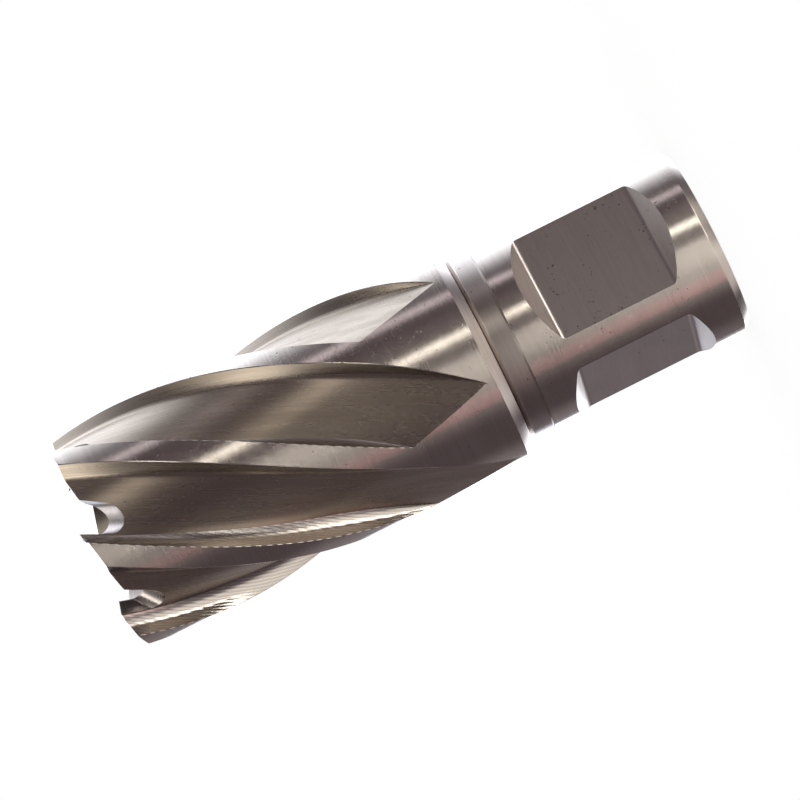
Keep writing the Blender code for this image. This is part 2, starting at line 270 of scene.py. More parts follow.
class CutterShape:
    """Radii, heights and angles that follow from the sizes. Angles are in degrees."""

    def __init__(self, scene):
        self.shank = scene.cutter_shank
        self.body = scene.cutter_body
        self.teeth = scene.cutter_teeth
        self.steps = scene.cutter_steps
        body = self.body
        self.radius = body.cutting_diameter / 2
        self.tip_z = body.overall_length
        self.shoulder_z = self.shank.reach
        self.collar_z = self.shoulder_z + body.collar_chamfer
        self.flute_end = self.collar_z + body.plain_collar
        self.flute_end_radius = self.radius - body.back_taper
        self.collar_radius = self.flute_end_radius - body.collar_step
        self.slug_radius = self.radius - body.wall
        self.gullet_radius = self.radius - self.teeth.gullet_inset
        self.pitch = 360.0 / self.teeth.count
        self.twist = math.degrees(math.tan(body.helix) / self.radius)
        self.land = math.degrees(body.land_width / self.radius)
        self.full_run = self.heel_run(body.heel_depth)
        self.low_foot = self.land + self.full_run + math.degrees(body.heel_swing)
        self.blank_top = self.tip_z + self.steps.overcut / 2

    def edge_angle(self, z, tooth=0):
        """Direction of a tooth's cutting edge at height z."""
        return math.degrees(self.teeth.phase) + tooth * self.pitch + self.twist * (z - self.tip_z)

    def heel_run(self, depth):
        """Angle from the heel of a land to the point on its wall at this depth."""
        return math.degrees(math.atan2(depth * math.tan(self.body.heel_lean), self.radius - depth))

    def blank_radius(self, z):
        """Outside radius of the body at height z, before the flutes are cut."""
        full_z = self.flute_end + self.body.runout
        if z < full_z:
            part = (z - self.collar_z) / (full_z - self.collar_z)
            return self.collar_radius + (self.flute_end_radius - self.collar_radius) * part
        part = (z - full_z) / (self.blank_top - full_z)
        return self.flute_end_radius + (self.radius - self.flute_end_radius) * part

    def full_depth(self, behind):
        """Depth of a whole flute, which grows from the heel's foot to the rake face."""
        share = (self.pitch - behind) / (self.pitch - self.low_foot)
        return self.body.flute_depth - (self.body.flute_depth - self.body.heel_depth) * share**2

    def floor_depth(self, behind, z):
        """Depth of a flute's floor, which falls to nothing along an arc."""
        slope = self.body.runout_slant / (self.pitch - self.low_foot)
        end_z = self.flute_end + slope * (behind - self.low_foot)
        part = min(1.0, max(0.0, (z - end_z) / self.body.runout))
        return self.full_depth(behind) * (1 - (1 - part) ** 2)

    def foot_angle(self, z):
        """Foot of the heel wall, which swings back where the flute ends."""
        near_end = max(0.0, 1 - (z - self.flute_end) / self.body.swing_length)
        swing = math.degrees(self.body.heel_swing) * min(1.0, near_end**2)
        return self.land + self.full_run + swing

    def exit_angle(self, z, skin):
        """Where the floor comes out of the body at height z; skin is the depth of the blank there."""
        behind = self.low_foot
        for _ in range(SETTLING_ROUNDS):
            depth = self.full_depth(min(self.pitch, max(self.low_foot, behind)))
            rise = self.body.runout * (1 - math.sqrt(1 - skin / depth))
            part = (z - rise - self.flute_end) / self.body.runout_slant
            behind = self.low_foot + (self.pitch - self.low_foot) * part
        return behind

    def body_heights(self):
        """Heights of the body's rows: close together where the flutes run out."""
        fine_end = self.flute_end + self.body.runout_slant + self.body.runout
        fine = math.ceil((fine_end - self.flute_end) / self.steps.runout_row)
        coarse = math.ceil((self.blank_top - fine_end) / self.steps.row)
        opening = spread(self.flute_end, fine_end, fine)
        return [self.collar_z, *opening, *spread(fine_end, self.blank_top, coarse)[1:]]

    def turned_outline(self):
        """Half section below the collar, from the end of the shank up, with eased corners.

        Each corner is a radius, a height, how far it is eased and the region above it.
        """
        shank = self.shank
        radius = shank.diameter / 2
        neck_radius = radius - shank.neck_depth
        groove_radius = neck_radius - shank.groove_depth
        groove_z = self.shoulder_z - shank.groove_width
        neck_low = self.shoulder_z - shank.neck_reach
        shoulder_radius = self.collar_radius - self.body.collar_chamfer
        ease = shank.ease
        return [
            (radius - shank.chamfer, 0.0, ease, "ground_shank"),
            (radius, shank.chamfer, ease, "ground_shank"),
            (radius, neck_low - shank.neck_taper, ease, "turned_neck"),
            (neck_radius, neck_low, ease, "turned_neck"),
            (neck_radius, groove_z - shank.groove_bevel, ease, "turned_chamfer"),
            (neck_radius - shank.groove_bevel, groove_z, ease, "turned_neck"),
            (groove_radius, groove_z, ease, "turned_neck"),
            (groove_radius, self.shoulder_z, ease, "turned_neck"),
            (shoulder_radius, self.shoulder_z, ease, "turned_chamfer"),
            (self.collar_radius, self.collar_z, ease, "ground_body"),
        ]


def ending_in(points, region):
    """The points, with another region after the last one."""
    return [*points[:-1], (*points[-1][:2], region)]


class PitchSection:
    """One pitch of the body at height z, from a cutting edge back to the next one.

    Each point is an angle behind the edge, a radius and the region that follows it. A stretch that
    the flute hasn't reached yet has all of its points in one place.
    """

    def __init__(self, shape, z):
        body = shape.body
        self.shape = shape
        self.steps = shape.steps
        self.z = z
        self.outside = shape.blank_radius(z)
        self.skin = shape.radius - self.outside
        self.foot = shape.foot_angle(z)
        self.foot_depth = self.depth(self.foot)
        self.edge_depth = self.depth(shape.pitch)
        foot_cut = self.foot_depth - self.skin
        edge_cut = self.edge_depth - self.skin
        self.edge_flat = min(body.edge_flat, edge_cut / 4)
        self.heel_flat = min(body.heel_flat, foot_cut / 4)
        self.foot_round = min(body.foot_round, foot_cut / 3)
        self.wall_base = self.foot - shape.heel_run(self.foot_depth)
        self.wall_end = self.foot_depth - self.foot_round
        self.fillet = body.rake_fillet * (edge_cut / (body.flute_depth - self.skin))
        self.fillet_start = body.fillet_start
        self.fillet_reach = 1 - math.sin(self.fillet_start)
        fillet_width = self.fillet * self.fillet_reach
        self.fillet_angle = math.degrees(fillet_width / (shape.radius - self.edge_depth))
        exit_at = min(shape.pitch, max(self.foot, shape.exit_angle(z, self.skin)))
        self.runs_out = exit_at < shape.pitch
        self.floor_end = min(exit_at, shape.pitch - self.fillet_angle)
        self.plain_end = shape.pitch if self.runs_out else self.floor_end
        round_angle = math.degrees(self.foot_round / shape.radius)
        self.round_end = self.foot + min(round_angle, (self.floor_end - self.foot) / 4)

    def depth(self, behind):
        """How far the surface lies inside the cutting radius at an angle behind the edge."""
        return max(self.skin, self.shape.floor_depth(behind, self.z))

    def wall_point(self, depth):
        """Angle and radius of the heel wall's point at this depth."""
        return self.wall_base + self.shape.heel_run(depth), self.shape.radius - depth

    def land(self):
        """Land behind the cutting edge, without its two tiny flats."""
        first = math.degrees(self.edge_flat / self.shape.radius)
        last = self.wall_point(self.skin)[0] - math.degrees(self.heel_flat / self.shape.radius)
        angles = spread(first, last, self.steps.land)
        return [(behind, self.outside, "ground_body") for behind in angles]

    def heel(self):
        """Wall behind the land, down to the rounding at its foot."""
        depths = spread(self.skin + self.heel_flat, self.wall_end, self.steps.wall)
        return [(*self.wall_point(depth), "heel_wall") for depth in depths]

    def floor(self):
        """Rounding at the heel's foot and the flute's floor."""
        radius = self.shape.radius
        corner = (self.foot, radius - self.foot_depth)
        end = (self.round_end, radius - self.depth(self.round_end))
        rounding = bend(self.wall_point(self.wall_end), corner, end, self.steps.foot)[1:]
        points = [(*point, "flute_floor") for point in rounding]
        for behind in spread(self.round_end, self.floor_end, self.steps.floor)[1:]:
            points.append((behind, radius - self.depth(behind), "flute_floor"))
        return ending_in(points, "ground_body")

    def plain(self):
        """Stretch beyond the flute's end, which has no width where the flute is whole."""
        points = []
        for behind in spread(self.floor_end, self.plain_end, self.steps.plain)[1:]:
            depth = self.skin if self.runs_out else self.shape.floor_depth(behind, self.z)
            points.append((behind, self.shape.radius - depth, "ground_body"))
        return ending_in(points, "rake_face")

    def rake(self):
        """Fillet at the foot of the rake face, and the face up to the next cutting edge."""
        shape = self.shape
        points = []
        for turn in spread(self.fillet_start, math.pi / 2, self.steps.fillet)[1:]:
            behind = shape.pitch - self.fillet_angle * (1 - math.sin(turn)) / self.fillet_reach
            rise = self.fillet * (math.cos(self.fillet_start) - math.cos(turn))
            points.append((behind, shape.radius - (self.depth(behind) - rise), "rake_face"))
        foot = shape.radius - self.edge_depth + self.fillet * math.cos(self.fillet_start)
        for radius in spread(foot, self.outside - self.edge_flat, self.steps.rake)[1:]:
            points.append((shape.pitch, radius, "rake_face"))
        return ending_in(points, "cutting_edge")

    def points(self):
        """The whole pitch."""
        return self.land() + self.heel() + self.floor() + self.plain() + self.rake()


def eased_outline(corners, steps):
    """The outline with each corner rounded, apart from its two ends."""
    first, last = corners[0], corners[-1]
    points = [(first[0], first[1], first[3])]
    for before, here, after in zip(corners, corners[1:], corners[2:]):
        corner = Vector(here[:2])
        back = Vector(before[:2]) - corner
        ahead = Vector(after[:2]) - corner
        ease = min(here[2], back.length / 3, ahead.length / 3)
        start = corner + back.normalized() * ease
        end = corner + ahead.normalized() * ease
        points += [(*point, here[3]) for point in bend(start, corner, end, steps)]
    points.append((last[0], last[1], last[3]))
    return points


class Skin:
    """Mesh of rings of equally many points, where points in one place share a vertex."""

    def __init__(self):
        self.points = []
        self.faces = []
        self.regions = []
        self.rings = []

    def add_ring(self, points, region=None):
        """Adds a ring and joins it to the last one. Regions run from each point to the next."""
        ring = []
        for point in points:
            if ring and (self.points[ring[-1]] - point).length < SAME_PLACE:
                ring.append(ring[-1])
                continue
            ring.append(len(self.points))
            self.points.append(point)
        if (self.points[ring[-1]] - points[0]).length < SAME_PLACE:
            last = ring[-1]
            ring = [ring[0] if index == last else index for index in ring]
        if self.rings:
            self.join(self.rings[-1], ring, region)
        self.rings.append(ring)

    def join(self, low, high, region):
        """Adds the faces between two rings; the region is one name or a list along the ring."""
        for i in range(len(low)):
            j = (i + 1) % len(low)
            loop = []
            for index in (low[i], low[j], high[j], high[i]):
                if index not in loop:
                    loop.append(index)
            if len(loop) > 2:
                self.faces.append(loop)
                self.regions.append(region[i] if isinstance(region, list) else region)

    def cap(self, ring, region):
        """Closes a ring with one face."""
        loop = list(dict.fromkeys(ring))
        self.faces.append(loop)
        self.regions.append(region)

    def to_object(self, name, materials):
        """Object of the skin with its faces turned outwards and each region's material."""
        mesh = bpy.data.meshes.new(name)
        mesh.from_pydata(self.points, [], self.faces)
        for material in materials:
            mesh.materials.append(material)
        slots = [REGIONS.index(region) for region in self.regions]
        mesh.polygons.foreach_set("material_index", slots)
        obj = bpy.data.objects.new(name, mesh)
        bpy.context.scene.collection.objects.link(obj)
        bm = bmesh.new()
        bm.from_mesh(mesh)
        bmesh.ops.recalc_face_normals(bm, faces=bm.faces)
        bm.to_mesh(mesh)
        bm.free()
        return obj


def make_blank(shape, materials):
    """Shank, neck, collar and fluted body as one skin, still solid and square at the teeth."""
    skin = Skin()
    base = PitchSection(shape, shape.collar_z).points()
    teeth = range(shape.teeth.count)
    start = shape.edge_angle(shape.collar_z)
    directions = [start - tooth * shape.pitch - point[0] for tooth in teeth for point in base]
    outline = eased_outline(shape.turned_outline(), shape.steps.foot)
    region = None
    for radius, z, above in outline:
        skin.add_ring([polar(radius, direction, z) for direction in directions], region)
        region = above
    skin.cap(skin.rings[0], "ground_shank")
    below = shape.collar_z
    for z in shape.body_heights()[1:]:
        middle = PitchSection(shape, (below + z) / 2).points()
        section = PitchSection(shape, z).points()
        turn = shape.edge_angle(z)
        points = [
            polar(radius, turn - tooth * shape.pitch - behind, z)
            for tooth in teeth
            for behind, radius, _ in section
        ]
        skin.add_ring(points, [point[2] for point in middle] * shape.teeth.count)
        below = z
    skin.cap(skin.rings[-1], "tooth_end")
    return skin.to_object("annular_cutter_steel", materials)


def make_core(shape, materials):
    """Tool that bores the slug cavity and the hole for the ejector pin."""
    bore = shape.shank.bore_diameter / 2
    over = shape.steps.overcut
    floor_z = shape.shoulder_z + shape.body.slug_floor
    corners = [
        (bore + shape.shank.bore_chamfer + over, -over, 0.0, "bore"),
        (bore, shape.shank.bore_chamfer, shape.shank.ease, "bore"),
        (bore, floor_z, shape.shank.ease, "bore"),
        (shape.slug_radius, floor_z, shape.body.foot_round, "bore"),
        (shape.slug_radius, shape.tip_z + over, 0.0, "bore"),
    ]
    skin = Skin()
    turns = spread(0.0, 360.0, shape.steps.bore)[:-1]
    for radius, z, region in eased_outline(corners, shape.steps.foot):
        skin.add_ring([polar(radius, turn, z) for turn in turns], region)
    skin.cap(skin.rings[0], "bore")
    skin.cap(skin.rings[-1], "bore")
    return skin.to_object("core_tool", materials)


def make_flat_tool(shape, depth, turn, materials):
    """Block with sloping ends and a rounded foot that mills one clamping flat."""
    shank = shape.shank
    floor = shank.diameter / 2 - depth
    reach = depth + shape.steps.overcut
    middle = shank.flat_start + shank.flat_length / 2
    half = shank.flat_length / 2
    outer = half + reach * math.tan(shank.flat_end_slope)
    slope = Vector((reach, outer - half)).normalized() * shank.flat_fillet
    side = [(-floor - reach, outer)]
    start = (-floor - slope.x, half + slope.y)
    end = (-floor, half - shank.flat_fillet)
    side += bend(start, (-floor, half), end, shape.steps.flat_fillet)
    outline = [(y, middle + z) for y, z in side] + [(y, middle - z) for y, z in reversed(side)]
    width = shank.diameter / 2 + shape.steps.overcut
    skin = Skin()
    for x in (-width, width):
        skin.add_ring([Vector((x, y, z)) for y, z in outline], "milled_flat")
    skin.cap(skin.rings[0], "milled_flat")
    skin.cap(skin.rings[-1], "milled_flat")
    tool = skin.to_object("flat_tool", materials)
    tool.rotation_euler.z = turn
    return tool


def gullet_outline(shape):
    """Slot with a round bottom and spreading sides, as distances ahead of the edge and heights."""
    teeth = shape.teeth
    front = math.pi - teeth.front_lean
    back = math.tau - teeth.back_lean
    points = []
    for turn in spread(front, back, shape.steps.arc):
        radius = teeth.front_radius if turn < 1.5 * math.pi else teeth.back_radius
        points.append((radius * math.cos(turn), radius * (1 + math.sin(turn))))
    height = teeth.gullet_depth + shape.steps.overcut
    first, last = points[0], points[-1]
    points.insert(0, (first[0] + height * math.tan(teeth.front_lean), first[1] + height))
    points.append((last[0] + height * math.tan(teeth.back_lean), last[1] + height))
    low = shape.tip_z - teeth.gullet_depth
    return [(teeth.gullet_lead + x, low + z) for x, z in points]


def make_gullet_tool(shape, tooth, materials):
    """Slot that runs inwards from a flute's floor, forwards and towards the tips."""
    outer = shape.radius + shape.steps.overcut - shape.gullet_radius
    inner = shape.slug_radius - shape.steps.overcut - shape.gullet_radius
    turn = Matrix.Rotation(math.radians(shape.edge_angle(shape.tip_z, tooth)), 3, "Z")
    skin = Skin()
    for reach in (outer, inner):
        ahead = -reach * math.tan(shape.teeth.gullet_sweep)
        rise = -reach * math.tan(shape.teeth.gullet_fall)
        ring = [
            turn @ Vector((shape.gullet_radius + reach, x + ahead, z + rise))
            for x, z in gullet_outline(shape)
        ]
        skin.add_ring(ring, "gullet")
    skin.cap(skin.rings[0], "gullet")
    skin.cap(skin.rings[-1], "gullet")
    return skin.to_object(f"gullet_tool_{tooth + 1}", materials)


def make_tooth_end_tool(shape, tooth, materials):
    """Tool that grinds a tooth's end back behind its edge and bevels it outwards and inwards."""
    teeth = shape.teeth
    over = shape.steps.overcut
    tip_radius = shape.radius - teeth.tip_inset
    inner = shape.slug_radius - over
    outer = shape.radius + over
    top = shape.tip_z + 2 * over
    outline = [
        (inner, shape.tip_z - (tip_radius - inner) * math.tan(teeth.inner_bevel)),
        (tip_radius, shape.tip_z),
        (outer, shape.tip_z - (outer - tip_radius) * math.tan(teeth.outer_bevel)),
        (outer, top),
        (inner, top),
    ]
    start = shape.edge_angle(shape.tip_z, tooth) + math.degrees(teeth.tip_lead) + END_LEAD
    skin = Skin()
    for behind in spread(0.0, shape.pitch + END_OVERLAP, shape.steps.tooth_end):
        drop = teeth.end_drop * (behind - END_LEAD) / shape.pitch
        ring = [polar(radius, start - behind, z - drop) for radius, z in outline]
        skin.add_ring(ring, "tooth_end")
    skin.cap(skin.rings[0], "tooth_end")
    skin.cap(skin.rings[-1], "tooth_end")
    return skin.to_object(f"tooth_end_tool_{tooth + 1}", materials)


def cut_with(obj, tools):
    """Cuts the tools out of the object and removes them."""
    for tool in tools:
        cut = obj.modifiers.new(tool.name, "BOOLEAN")
        cut.operation = "DIFFERENCE"
        cut.solver = "MANIFOLD"
        cut.object = tool
    bpy.context.view_layer.update()
    evaluated = obj.evaluated_get(bpy.context.evaluated_depsgraph_get())
    mesh = bpy.data.meshes.new_from_object(evaluated)
    obj.modifiers.clear()
    obj.data = mesh
    for tool in tools:
        bpy.data.objects.remove(tool, do_unlink=True)


def remove_flaps(bm):
    """Removes pairs of faces that lie back to back on the same corners, which a cut can leave."""
    groups = {}
    for face in bm.faces:
        groups.setdefault(frozenset(face.verts), []).append(face)
    flaps = [face for group in groups.values() if len(group) > 1 for face in group]
    bmesh.ops.delete(bm, geom=flaps, context="FACES")


def shade_by_angle(mesh, smooth_limit, region_limit):
    """Smooth shading, broken where faces meet sharply and, at a lower angle, where regions meet."""
    bm = bmesh.new()
    bm.from_mesh(mesh)
    remove_flaps(bm)
    for face in bm.faces:
        face.smooth = True
    for edge in bm.edges:
        if len(edge.link_faces) != 2:
            raise RuntimeError("the cutter's skin isn't closed")
        turn = edge.calc_face_angle(0.0)
        one, two = edge.link_faces
        limit = smooth_limit if one.material_index == two.material_index else region_limit
        edge.smooth = turn < limit
    bm.to_mesh(mesh)
    bm.free()


def add_node(tree, kind, inputs=None, **settings):
    """Node with its settings; an input is given a value or another node's output."""
    made = tree.nodes.new(kind)
    for name, value in settings.items():
        setattr(made, name, value)
    for name, value in (inputs or {}).items():
        if isinstance(value, bpy.types.NodeSocket):
            tree.links.new(value, made.inputs[name])
        else:
            made.inputs[name].default_value = value
    return made


def maths(tree, operation, *values, clamp=False):
    """Result of one sum on numbers and other nodes' outputs."""
    inputs = dict(enumerate(values))
    node = add_node(tree, "ShaderNodeMath", inputs, operation=operation, use_clamp=clamp)
    return node.outputs[0]


def vector_maths(tree, operation, *values):
    """The same on vectors. Only a length comes out as a number."""
    inputs = dict(enumerate(values))
    node = add_node(tree, "ShaderNodeVectorMath", inputs, operation=operation)
    return node.outputs["Value" if operation == "LENGTH" else "Vector"]


def scaled(tree, vector, factor):
    """Vector times a number."""
    inputs = {0: vector, "Scale": factor}
    return add_node(tree, "ShaderNodeVectorMath", inputs, operation="SCALE").outputs["Vector"]


def ramp(tree, value, low, high, start=0.0, end=1.0):
    """Value mapped smoothly from low..high to start..end."""
    inputs = {"Value": value, "From Min": low, "From Max": high, "To Min": start, "To Max": end}
    node = add_node(tree, "ShaderNodeMapRange", inputs, interpolation_type="SMOOTHSTEP")
    return node.outputs["Result"]


def blend(tree, share, first, second):
    """Colour between first and second."""
    node = add_node(tree, "ShaderNodeMix", data_type="RGBA")
    for name, value in (("Factor_Float", share), ("A_Color", first), ("B_Color", second)):
        socket = next(s for s in node.inputs if s.identifier == name)
        if isinstance(value, bpy.types.NodeSocket):
            tree.links.new(value, socket)
        else:
            socket.default_value = value
    return next(s for s in node.outputs if s.identifier == "Result_Color")


def new_group(name, inputs, outputs):
    """Empty node group with named sockets, and the two ends to join inside it."""
    group = bpy.data.node_groups.new(name, "ShaderNodeTree")
    for label, kind, default in inputs:
        socket = group.interface.new_socket(name=label, in_out="INPUT", socket_type=kind)
        socket.default_value = default
    for label, kind in outputs:
        group.interface.new_socket(name=label, in_out="OUTPUT", socket_type=kind)
    start = group.nodes.new("NodeGroupInput")
    end = group.nodes.new("NodeGroupOutput")
    return group, start.outputs, end.inputs


def tool_marks_group():
    """Fine lines left by a grinding wheel: noise drawn out along two of its axes."""
    inputs = [
        ("Position", "NodeSocketVector", (0.0, 0.0, 0.0)),
        ("Stretch", "NodeSocketVector", (1.0, 1.0, 1.0)),
        ("Contrast", "NodeSocketFloat", 0.5),
    ]
    group, given, result = new_group("tool_marks", inputs, [("Marks", "NodeSocketFloat")])
    place = vector_maths(group, "MULTIPLY", given["Position"], given["Stretch"])
    noise_inputs = {"Vector": place, "Scale": 1.0, "Detail": 4.0, "Roughness": 0.65}
    noise = add_node(group, "ShaderNodeTexNoise", noise_inputs)
    centred = maths(group, "SUBTRACT", noise.outputs["Fac"], 0.5)
    marks = maths(group, "MULTIPLY_ADD", centred, given["Contrast"], 0.5, clamp=True)
    group.links.new(marks, result["Marks"])
    return group


def unwound_group(twist):
    """Position with the helix taken out, so that a flute runs straight along the axis."""
    inputs = [("Position", "NodeSocketVector", (0.0, 0.0, 0.0))]
    group, given, result = new_group("unwound", inputs, [("Position", "NodeSocketVector")])
    parts = add_node(group, "ShaderNodeSeparateXYZ", {0: given["Position"]})
    turn = maths(group, "MULTIPLY", parts.outputs["Z"], -math.radians(twist))
    rotate_inputs = {"Vector": given["Position"], "Angle": turn}
    node = add_node(group, "ShaderNodeVectorRotate", rotate_inputs, rotation_type="Z_AXIS")
    group.links.new(node.outputs[0], result["Position"])
    return group


def hatch_group():
    """Parallel waves on a rake face, slanting from the flute's floor to the cutting edge."""
    bends_per_metre = 700.0
    bend_height = 0.0006
    inputs = [
        ("Position", "NodeSocketVector", (0.0, 0.0, 0.0)),
        ("Spacing", "NodeSocketFloat", 0.0004),
        ("Slant", "NodeSocketFloat", 3.0),
    ]
    group, given, result = new_group("hatch", inputs, [("Waves", "NodeSocketFloat")])
    parts = add_node(group, "ShaderNodeSeparateXYZ", {0: given["Position"]})
    flat = vector_maths(group, "MULTIPLY", given["Position"], (1.0, 1.0, 0.0))
    radius = vector_maths(group, "LENGTH", flat)
    slanted = maths(group, "MULTIPLY_ADD", radius, given["Slant"], parts.outputs["Z"])
    noise_inputs = {"Vector": given["Position"], "Scale": bends_per_metre}
    uneven = add_node(group, "ShaderNodeTexNoise", noise_inputs)
    bent = maths(group, "MULTIPLY_ADD", uneven.outputs["Fac"], bend_height, slanted)
    turns = maths(group, "MULTIPLY", maths(group, "DIVIDE", bent, given["Spacing"]), math.tau)
    wave = maths(group, "MULTIPLY_ADD", maths(group, "SINE", turns), 0.5, 0.5)
    group.links.new(wave, result["Waves"])
    return group


def pits_group():
    """Small dark pits, scattered and of uneven size."""
    bare_level = 0.95
    patch_share = 0.35
    amount_share = 0.3
    steepness = 14.0
    inputs = [
        ("Position", "NodeSocketVector", (0.0, 0.0, 0.0)),
        ("Size", "NodeSocketFloat", 0.0002),
        ("Amount", "NodeSocketFloat", 0.3),
    ]
    group, given, result = new_group("pits", inputs, [("Mask", "NodeSocketFloat")])
    place = scaled(group, given["Position"], maths(group, "DIVIDE", 1.0, given["Size"]))
    fine = add_node(group, "ShaderNodeTexNoise", {"Vector": place, "Scale": 0.5, "Detail": 2.0})
    patches = add_node(group, "ShaderNodeTexNoise", {"Vector": place, "Scale": 0.05, "Detail": 1.0})
    level = maths(group, "MULTIPLY_ADD", patches.outputs["Fac"], -patch_share, bare_level)
    level = maths(group, "MULTIPLY_ADD", given["Amount"], -amount_share, level)
    over = maths(group, "SUBTRACT", fine.outputs["Fac"], level)
    mask = maths(group, "MULTIPLY", over, steepness, clamp=True)
    group.links.new(mask, result["Mask"])
    return group


def stain_group():
    """Soft uneven film, as a share."""
    bare_level = 0.35
    full_level = 0.68
    inputs = [
        ("Position", "NodeSocketVector", (0.0, 0.0, 0.0)),
        ("Stretch", "NodeSocketVector", (1.0, 1.0, 1.0)),
    ]
    group, given, result = new_group("stain", inputs, [("Share", "NodeSocketFloat")])
    place = vector_maths(group, "MULTIPLY", given["Position"], given["Stretch"])
    noise_inputs = {"Vector": place, "Scale": 1.0, "Detail": 5.0, "Roughness": 0.55}
    noise = add_node(group, "ShaderNodeTexNoise", noise_inputs)
    share = ramp(group, noise.outputs["Fac"], bare_level, full_level)
    group.links.new(share, result["Share"])
    return group


class SteelLook(NamedTuple):
    """Look of one kind of surface. Stretches are per metre, and other lengths are in metres."""

    # Colour of the clean steel
    colour: tuple
    # Grinding marks: whether they follow the helix, how fine they are on each axis, and how strong
    helical: bool = False
    stretch: tuple = (60.0, 60.0, 6000.0)
    contrast: float = 1.0
    # Film: how fine its patches are on each axis, and the share of it at its thickest
    film_stretch: tuple = (120.0, 120.0, 300.0)
    film: float = 0.15
    # Even lines of a coarse wheel: their spacing, or 0 for none, and their share in the marks
    hatch: float = 0.0
    hatch_share: float = 0.5
    # Dark side of the marks: its share and how bright it is
    line_shade: float = 0.45
    line_tone: float = 0.75
    pit_size: float = 0.00018
    pits: float = 0.2
    rough: float = 0.22
    rough_spread: float = 0.06
    bump: float = 0.000011
    # How much the marks draw a reflection out, and their slant from a turned surface's marks
    brushed: float = 1.0
    line_angle: float = 0.0


# Roughness that a full film and the bottom of a pit add
FILM_ROUGHNESS = 0.12
PIT_ROUGHNESS = 0.3

# Level of the marks where their dark side is full, and where it ends
DARK_MARK = 0.25
BRIGHT_MARK = 0.75


def steel_material(name, groups, finish, look):
    """Ground steel: fine marks in the roughness and the bump, a film in the colour, a few pits."""
    material = bpy.data.materials.new(name)
    material.use_nodes = True
    tree = material.node_tree
    shader = tree.nodes["Principled BSDF"]
    position = add_node(tree, "ShaderNodeTexCoord").outputs["Object"]

    def place(group, inputs):
        return add_node(tree, "ShaderNodeGroup", inputs, node_tree=groups[group]).outputs[0]

    along = place("unwound", {"Position": position}) if look.helical else position
    mark_inputs = {"Position": along, "Stretch": look.stretch, "Contrast": look.contrast}
    marks = place("tool_marks", mark_inputs)
    film = place("stain", {"Position": along, "Stretch": look.film_stretch})
    pits = place("pits", {"Position": position, "Size": look.pit_size, "Amount": look.pits})
    if look.hatch:
        waves = place("hatch", {"Position": position, "Spacing": look.hatch})
        mixed = maths(tree, "MULTIPLY", maths(tree, "SUBTRACT", waves, marks), look.hatch_share)
        marks = maths(tree, "ADD", marks, mixed)
    film_share = maths(tree, "MULTIPLY", film, look.film)
    shade = blend(tree, film_share, (*look.colour, 1.0), (*finish.stain, 1.0))
    # On the cutting edges the low line tone turns the dark side of the waves into the gaps between
    # painted glints
    dark = (*(part * look.line_tone for part in look.colour), 1.0)
    dark_side = ramp(tree, marks, DARK_MARK, BRIGHT_MARK, 1.0, 0.0)
    shade = blend(tree, maths(tree, "MULTIPLY", dark_side, look.line_shade), shade, dark)
    shade = blend(tree, pits, shade, (*finish.pit, 1.0))
    rough = maths(tree, "MULTIPLY_ADD", marks, look.rough_spread, look.rough)
    rough = maths(tree, "MULTIPLY_ADD", film_share, FILM_ROUGHNESS, rough)
    rough = maths(tree, "MULTIPLY_ADD", pits, PIT_ROUGHNESS, rough, clamp=True)
    height = maths(tree, "SUBTRACT", marks, pits)
    bump_inputs = {"Height": height, "Strength": 1.0, "Distance": look.bump}
    bump = add_node(tree, "ShaderNodeBump", bump_inputs)
    tree.links.new(shade, shader.inputs["Base Color"])
    tree.links.new(rough, shader.inputs["Roughness"])
    tree.links.new(bump.outputs["Normal"], shader.inputs["Normal"])
    shader.inputs["Metallic"].default_value = 1.0
    if look.brushed:
        shader.inputs["Anisotropic"].default_value = look.brushed
        round_axis = add_node(tree, "ShaderNodeTangent", direction_type="RADIAL", axis="Z")
        sideways = scaled(tree, round_axis.outputs[0], math.sin(look.line_angle))
        downwards = (0.0, 0.0, -math.cos(look.line_angle))
        across = vector_maths(tree, "ADD", sideways, downwards)
        tree.links.new(across, shader.inputs["Tangent"])
    return material


def steel_looks(finish, helix):
    """Look of each region of the cutter."""
    turned = SteelLook(colour=tuple(finish.steel))
    plain = turned._replace(rough=0.28, brushed=0.0, bump=0.0000015)
    ground = turned._replace(
        colour=tuple(finish.flute),
        helical=True,
        stretch=(7000.0, 7000.0, 60.0),
        film_stretch=(900.0, 900.0, 60.0),
        film=0.38,
        line_shade=0.5,
        pit_size=0.00012,
        pits=0.1,
        bump=0.000004,
        brushed=0.9,
        line_angle=math.pi / 2 - helix,
    )
    return {
        "ground_body": turned,
        "ground_shank": turned._replace(pits=0.1, line_shade=0.3),
        "turned_neck": turned._replace(
            colour=tuple(finish.neck), rough=0.38, brushed=0.5, bump=0.000002
        ),
        # Its brighter colour is a painted highlight on the turned chamfers
        "turned_chamfer": turned._replace(
            colour=tuple(finish.chamfer), rough=0.3, brushed=0.6, bump=0.000002
        ),
        "flute_floor": ground,
        # Dark colour as painted shade on the steep heel walls, deepened further by a heavier stain film
        "heel_wall": ground._replace(colour=tuple(finish.heel), film=0.7),
        "rake_face": ground._replace(
            colour=tuple(finish.rake),
            film=0.15,
            hatch=0.00095,
            line_shade=0.9,
            pits=0.0,
            rough=0.17,
            bump=0.000006,
        ),
        # Bright colour and near black wave troughs paint dashed glints along the edge flats
        "cutting_edge": ground._replace(
            colour=tuple(finish.edge),
            film=0.0,
            hatch=0.0009,
            hatch_share=0.9,
            line_shade=1.0,
            line_tone=0.15,
            pits=0.0,
            rough=0.4,
            brushed=0.0,
        ),
        "gullet": ground._replace(
            colour=tuple(finish.fresh), helical=False, stretch=(3000.0, 3000.0, 6000.0), film=0.2
        ),
        "tooth_end": plain._replace(stretch=(4000.0, 900.0, 900.0)),
        "milled_flat": plain._replace(
            colour=tuple(finish.milled), stretch=(300.0, 300.0, 7000.0)
        ),
        "bore": turned._replace(film=0.5, rough=0.3, bump=0.000002),
    }


